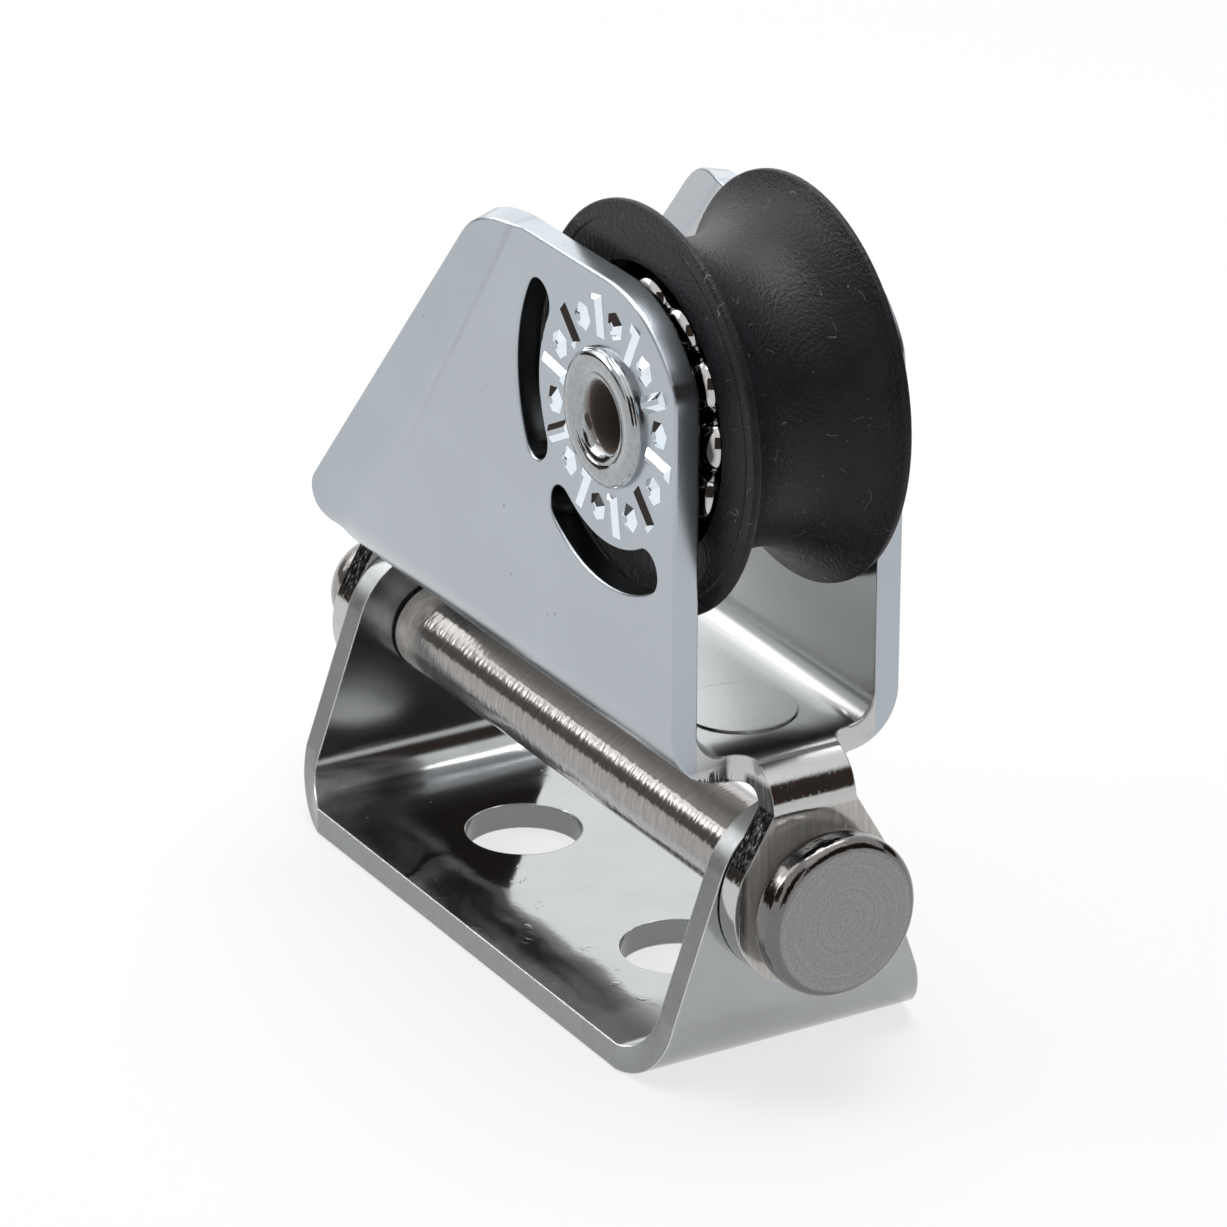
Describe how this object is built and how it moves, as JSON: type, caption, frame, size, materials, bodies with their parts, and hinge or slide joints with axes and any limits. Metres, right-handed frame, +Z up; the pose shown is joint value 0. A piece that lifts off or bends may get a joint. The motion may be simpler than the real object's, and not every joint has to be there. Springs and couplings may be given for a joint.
{
  "type": "swivel lead block",
  "caption": "Ball-bearing sheave between stainless cheeks, hinged on a bolted channel base, that leads a rope and swings with its pull.",
  "frame": {"origin": "centre of the base's underside, midway between the two mounting holes", "axes": "+X along the hinge pin towards its disc head, +Y along the sheave's axle, +Z up out of the surface that the base is bolted to"},
  "size_m": [0.052, 0.0176, 0.0459],
  "materials": {
    "polished_sheet": "polished stainless sheet",
    "satin_sheet": "satin stainless sheet",
    "turned_pin": "turned stainless bar",
    "polished_rivet": "polished stainless tube, flared",
    "black_acetal": "fine satin moulded acetal",
    "ball_steel": "mirror-bright stainless balls"
  },
  "bodies": {
    "base": {"base_bracket": "polished_sheet"},
    "pin": {"hinge_pin": "turned_pin"},
    "block": {"cheek_bracket": "satin_sheet", "axle_tube": "polished_rivet", "hub_race": "turned_pin"},
    "sheave": {"sheave": "black_acetal"},
    "ball_row_near": {"ball_near_01": "ball_steel", "ball_near_02": "ball_steel", "ball_near_03": "ball_steel", "ball_near_04": "ball_steel", "ball_near_05": "ball_steel", "ball_near_06": "ball_steel", "ball_near_07": "ball_steel", "ball_near_08": "ball_steel", "ball_near_09": "ball_steel", "ball_near_10": "ball_steel", "ball_near_11": "ball_steel", "ball_near_12": "ball_steel"},
    "ball_row_far": {"ball_far_01": "ball_steel", "ball_far_02": "ball_steel", "ball_far_03": "ball_steel", "ball_far_04": "ball_steel", "ball_far_05": "ball_steel", "ball_far_06": "ball_steel", "ball_far_07": "ball_steel", "ball_far_08": "ball_steel", "ball_far_09": "ball_steel", "ball_far_10": "ball_steel", "ball_far_11": "ball_steel", "ball_far_12": "ball_steel"}
  },
  "joints": [
    {"name": "pin_turn", "type": "hinge", "parent": "base", "child": "pin", "pos_m": [0, 0, 0.0101], "axis": [1, 0, 0], "continuous": true},
    {"name": "block_swing", "type": "hinge", "parent": "base", "child": "block", "pos_m": [0, 0, 0.0101], "axis": [1, 0, 0], "range_deg": [-80, 80]},
    {"name": "sheave_spin", "type": "hinge", "parent": "block", "child": "sheave", "pos_m": [0.0122, 0, 0.035], "axis": [0, 1, 0], "continuous": true},
    {"name": "near_row_roll", "type": "hinge", "parent": "block", "child": "ball_row_near", "pos_m": [0.0122, 0, 0.035], "axis": [0, 1, 0], "continuous": true},
    {"name": "far_row_roll", "type": "hinge", "parent": "block", "child": "ball_row_far", "pos_m": [0.0122, 0, 0.035], "axis": [0, 1, 0], "continuous": true}
  ],
  "couplings": [
    {"joint": "near_row_roll", "follows": "sheave_spin", "ratio": 0.6271},
    {"joint": "far_row_roll", "follows": "sheave_spin", "ratio": 0.6271}
  ]
}
